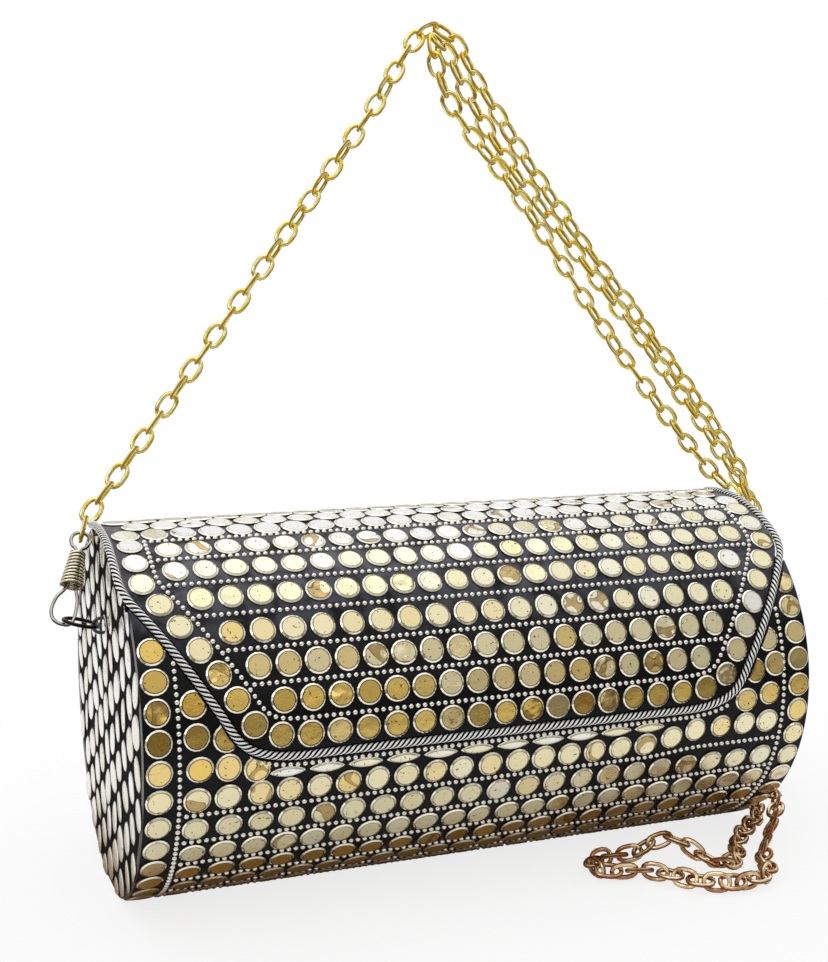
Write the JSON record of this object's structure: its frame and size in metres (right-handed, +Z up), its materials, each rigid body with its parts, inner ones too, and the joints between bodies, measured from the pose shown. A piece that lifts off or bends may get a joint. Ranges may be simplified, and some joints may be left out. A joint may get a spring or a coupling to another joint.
{
  "type": "cylinder clutch bag",
  "caption": "Rigid barrel-shaped evening clutch covered in a mosaic of shallow metal discs, with a hinged rope-edged flap, tiled round ends, wire clasps and a chain strap.",
  "frame": {"origin": "middle of the small flat strip under the barrel that the bag rests on", "axes": "+X along the barrel to the end beside the loose chain, -Y to the front where the flap closes, +Z up"},
  "size_m": [0.2444, 0.119, 0.2389],
  "materials": {
    "disc_mosaic": "shallow pale gold metal discs and silver beads set in glossy black resin",
    "tile_mosaic": "pale metal tiles packed in glossy black resin",
    "silver_rope": "bright twisted wire rope with dark grooves",
    "black_lining": "smooth black cloth",
    "black_resin": "glossy black resin",
    "plated_steel": "silvered wire and discs, darkened in the recesses",
    "hinge_brass": "satin brass",
    "blackened_wire": "blackened wire",
    "pale_gold_wire": "pale gold wire, polished",
    "bright_gold_chain": "bright yellow gold plating, polished"
  },
  "bodies": {
    "bag": {"barrel": "disc_mosaic", "left_end_cap": "tile_mosaic", "right_end_cap": "tile_mosaic", "barrel_lining": "black_lining", "left_end_lining": "black_lining", "right_end_lining": "black_lining", "front_lip": "black_resin", "lip_magnet": "plated_steel", "hinge_barrel_leaf": "hinge_brass", "hinge_pin": "hinge_brass", "left_ring_staple": "blackened_wire", "right_ring_staple": "blackened_wire", "left_ring": "blackened_wire", "right_ring": "blackened_wire", "left_clasp_wire": "plated_steel", "right_clasp_wire": "plated_steel", "left_clasp_coil": "pale_gold_wire", "right_clasp_coil": "pale_gold_wire", "strap_chain": "bright_gold_chain"},
    "flap": {"flap": "disc_mosaic", "flap_rope_trim": "silver_rope", "flap_lining": "black_lining", "flap_magnet": "plated_steel", "hinge_flap_leaf": "hinge_brass"}
  },
  "joints": [
    {"name": "flap_hinge", "type": "hinge", "parent": "bag", "child": "flap", "pos_m": [0, 0.01359, 0.09579], "axis": [-1, 0, 0], "range_deg": [0, 95]}
  ]
}
